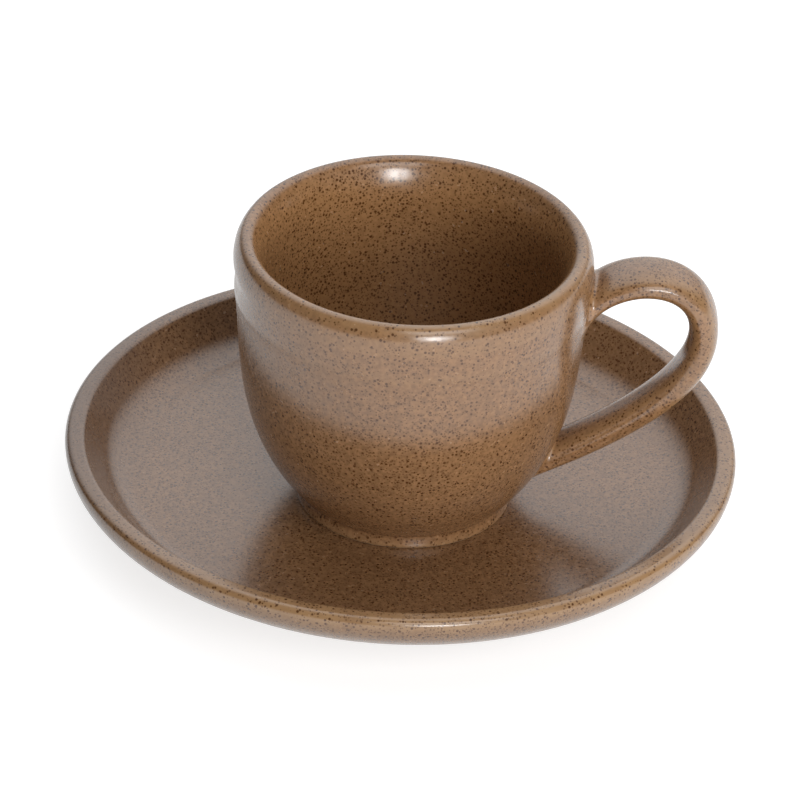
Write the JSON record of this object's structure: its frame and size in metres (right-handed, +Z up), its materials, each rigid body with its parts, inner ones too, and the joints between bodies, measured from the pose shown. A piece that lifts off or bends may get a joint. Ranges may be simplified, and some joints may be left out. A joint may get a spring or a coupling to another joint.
{
  "type": "coffee cup with saucer",
  "caption": "Small round stoneware coffee cup with a strap handle standing in the well of its round saucer, both in brown speckled satin glaze; the cup lifts off.",
  "frame": {"origin": "on the saucer's axis, on the plane that its foot ring stands on", "axes": "+Z up, +X towards the cup's handle, -Y towards the viewer"},
  "size_m": [0.125, 0.125, 0.062],
  "materials": {
    "saucer_glaze": "brown satin glaze with fine dark speckles, paler along the rim",
    "cup_glaze": "brown satin glaze with fine dark speckles, paler along the lip and darker inside",
    "handle_glaze": "brown satin glaze with fine dark speckles, golden along the edges"
  },
  "bodies": {
    "saucer": {"saucer": "saucer_glaze"},
    "cup": {"cup_body": "cup_glaze", "handle": "handle_glaze", "upper_joint_clay": "handle_glaze", "lower_joint_clay": "handle_glaze"}
  },
  "joints": [
    {"name": "cup_lift", "type": "slide", "parent": "saucer", "child": "cup", "axis": [0, 0, 1], "range_m": [0, 0.06]}
  ]
}
